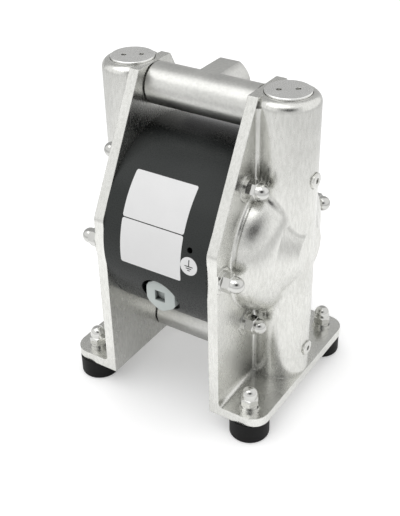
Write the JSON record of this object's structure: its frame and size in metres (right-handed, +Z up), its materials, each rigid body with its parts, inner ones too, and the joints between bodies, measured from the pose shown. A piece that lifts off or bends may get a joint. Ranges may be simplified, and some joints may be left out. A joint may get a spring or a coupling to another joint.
{
  "type": "air operated diaphragm pump",
  "caption": "Air operated double diaphragm pump with steel side castings clamped round a black air block, cross pipes with side ports and rubber feet.",
  "frame": {"origin": "middle of the footprint, on the plane under the four rubber feet", "axes": "+Z up, +Y towards the side that both pipe ports face, +X along the diaphragm shaft; the air inlet faces -Y"},
  "size_m": [0.1848, 0.1556, 0.265],
  "materials": {
    "cast_stainless": "bead-blasted and brushed, satin",
    "bright_stainless": "polished",
    "turned_stainless": "turned",
    "black_plastic": "satin moulded",
    "white_plastic": "translucent moulded",
    "ptfe": "smooth white",
    "black_rubber": "matt",
    "seal_rubber": "smooth",
    "bearing_bronze": "turned",
    "sintered_bronze": "sintered"
  },
  "bodies": {
    "pump_body": {"housing_left": "cast_stainless", "housing_right": "cast_stainless", "bore_plug_left": "turned_stainless", "bore_plug_right": "turned_stainless", "bore_plug_seals": "seal_rubber", "centre_block": "black_plastic", "inlet_transport_cap": "white_plastic", "exhaust_silencer": "sintered_bronze", "clamp_studs": "turned_stainless", "clamp_washers": "bright_stainless", "clamp_acorn_nuts": "bright_stainless", "rubber_feet": "black_rubber", "foot_studs": "turned_stainless", "foot_washers": "bright_stainless", "foot_spring_washers": "bright_stainless", "foot_acorn_nuts": "bright_stainless", "seat_locking_screws": "turned_stainless", "valve_seats": "turned_stainless", "ball_cages": "turned_stainless", "diaphragm_left": "ptfe", "diaphragm_right": "ptfe", "shaft_bushes": "bearing_bronze", "shaft_seals": "seal_rubber", "air_valve_sleeve": "bearing_bronze", "air_valve_end_caps": "black_plastic", "end_cap_seals": "seal_rubber", "end_cap_retaining_rings": "turned_stainless", "pilot_sleeve": "bearing_bronze"},
    "diaphragm_assembly": {"diaphragm_shaft": "turned_stainless", "inner_diaphragm_plates": "turned_stainless", "outer_diaphragm_plates": "turned_stainless", "shaft_nuts": "turned_stainless"},
    "pilot": {"pilot_pin": "turned_stainless"},
    "spool": {"air_valve_spool": "turned_stainless"},
    "suction_valve_left": {"suction_ball_left": "ptfe"},
    "suction_valve_right": {"suction_ball_right": "ptfe"},
    "discharge_valve_left": {"discharge_ball_left": "ptfe"},
    "discharge_valve_right": {"discharge_ball_right": "ptfe"},
    "discharge_pipe": {"discharge_manifold": "cast_stainless", "discharge_manifold_seals": "seal_rubber"},
    "suction_pipe": {"suction_manifold": "cast_stainless", "suction_manifold_seals": "seal_rubber"}
  },
  "joints": [
    {"name": "diaphragm_stroke", "type": "slide", "parent": "pump_body", "child": "diaphragm_assembly", "axis": [1, 0, 0], "range_m": [-0.006, 0.006], "deforming": ["diaphragm_left", "diaphragm_right"]},
    {"name": "pilot_stroke", "type": "slide", "parent": "pump_body", "child": "pilot", "axis": [1, 0, 0], "range_m": [-0.003, 0.003]},
    {"name": "spool_stroke", "type": "slide", "parent": "pump_body", "child": "spool", "axis": [1, 0, 0], "range_m": [-0.004, 0.004]},
    {"name": "suction_ball_lift_left", "type": "slide", "parent": "pump_body", "child": "suction_valve_left", "axis": [0, 0, 1], "range_m": [0, 0.005]},
    {"name": "suction_ball_lift_right", "type": "slide", "parent": "pump_body", "child": "suction_valve_right", "axis": [0, 0, 1], "range_m": [0, 0.005]},
    {"name": "discharge_ball_lift_left", "type": "slide", "parent": "pump_body", "child": "discharge_valve_left", "axis": [0, 0, 1], "range_m": [0, 0.005]},
    {"name": "discharge_ball_lift_right", "type": "slide", "parent": "pump_body", "child": "discharge_valve_right", "axis": [0, 0, 1], "range_m": [0, 0.005]},
    {"name": "discharge_port_swivel", "type": "hinge", "parent": "pump_body", "child": "discharge_pipe", "pos_m": [0, 0, 0.2471], "axis": [1, 0, 0], "range_deg": [0, 180]},
    {"name": "suction_port_swivel", "type": "hinge", "parent": "pump_body", "child": "suction_pipe", "pos_m": [0, 0, 0.038], "axis": [1, 0, 0], "range_deg": [-25, 15]}
  ],
  "couplings": [
    {"joint": "pilot_stroke", "follows": "diaphragm_stroke", "ratio": 0.5}
  ]
}
